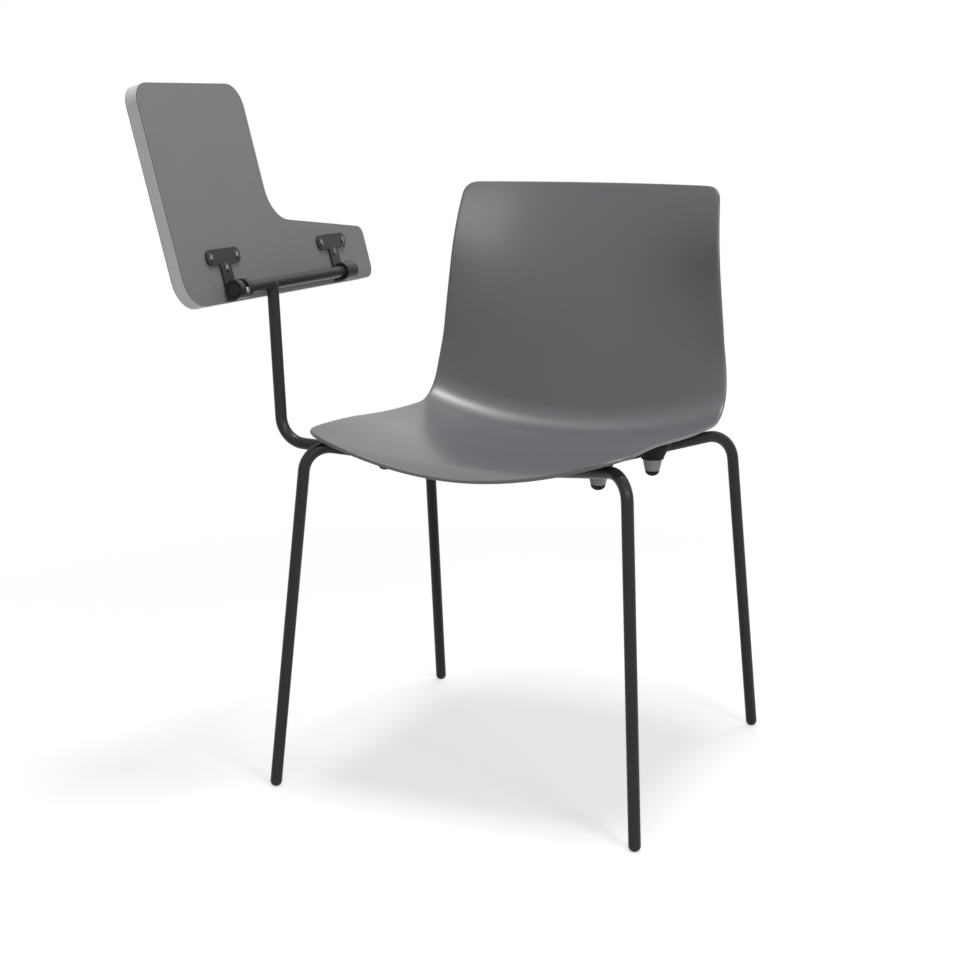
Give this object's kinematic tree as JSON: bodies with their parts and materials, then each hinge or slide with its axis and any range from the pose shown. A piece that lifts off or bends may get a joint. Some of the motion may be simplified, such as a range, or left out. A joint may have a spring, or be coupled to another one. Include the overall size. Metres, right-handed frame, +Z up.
{
  "type": "tablet arm chair",
  "caption": "Moulded plastic shell chair on bent steel tube legs, with a hinged writing tablet beside the seat that swings over the lap.",
  "frame": {"origin": "on the floor, midway between the four feet", "axes": "+Z up, -Y to the front of the seat, -X to the side with the tablet"},
  "size_m": [0.6745, 0.6135, 0.9405],
  "materials": {
    "shell_plastic": "moulded polypropylene, fine satin grain",
    "frame_coat": "anthracite powder coat, fine texture, satin",
    "black_plastic": "moulded nylon, matt",
    "black_rubber": "matt",
    "grey_plastic": "moulded polypropylene, satin",
    "brass_insert": "plain turned",
    "zinc_screw": "zinc plated",
    "bush_plastic": "acetal, smooth",
    "board_core": "pressed wood fibre board",
    "grey_laminate": "high-pressure laminate, fine matt texture",
    "edge_plastic": "ABS edge band, satin"
  },
  "bodies": {
    "chair": {"seat_shell": "shell_plastic", "fixing_bosses": "shell_plastic", "boss_inserts": "brass_insert", "front_frame_tube": "frame_coat", "rear_frame_tube": "frame_coat", "centre_strap": "frame_coat", "strap_screws": "zinc_screw", "tube_clip_front_left": "black_plastic", "tube_clip_front_right": "black_plastic", "tube_clip_rear_left": "black_plastic", "tube_clip_rear_right": "black_plastic", "glide_front_left": "black_plastic", "glide_front_right": "black_plastic", "glide_rear_left": "black_plastic", "glide_rear_right": "black_plastic", "buffer_base_front_left": "black_rubber", "buffer_base_front_right": "black_rubber", "buffer_base_rear_left": "black_rubber", "buffer_base_rear_right": "black_rubber", "buffer_cup_front_left": "grey_plastic", "buffer_cup_front_right": "grey_plastic", "buffer_cup_rear_left": "grey_plastic", "buffer_cup_rear_right": "grey_plastic", "buffer_tip_front_left": "black_rubber", "buffer_tip_front_right": "black_rubber", "buffer_tip_rear_left": "black_rubber", "buffer_tip_rear_right": "black_rubber", "buffer_screws": "zinc_screw", "tablet_post": "frame_coat", "hinge_bar": "frame_coat", "bar_plug_front": "black_plastic", "bar_plug_rear": "black_plastic", "stop_screw": "zinc_screw"},
    "tablet": {"sleeve_front": "frame_coat", "sleeve_rear": "frame_coat", "bush_front": "bush_plastic", "bush_rear": "bush_plastic", "hinge_plate_front": "frame_coat", "hinge_plate_rear": "frame_coat", "plate_screws_front": "zinc_screw", "plate_screws_rear": "zinc_screw", "tablet_core": "board_core", "writing_laminate": "grey_laminate", "underside_laminate": "grey_laminate", "edge_band": "edge_plastic"}
  },
  "joints": [
    {"name": "tablet_flip", "type": "hinge", "parent": "chair", "child": "tablet", "pos_m": [-0.30162, -0.1, 0.6776], "axis": [0, 1, 0], "range_deg": [0, 105]}
  ]
}
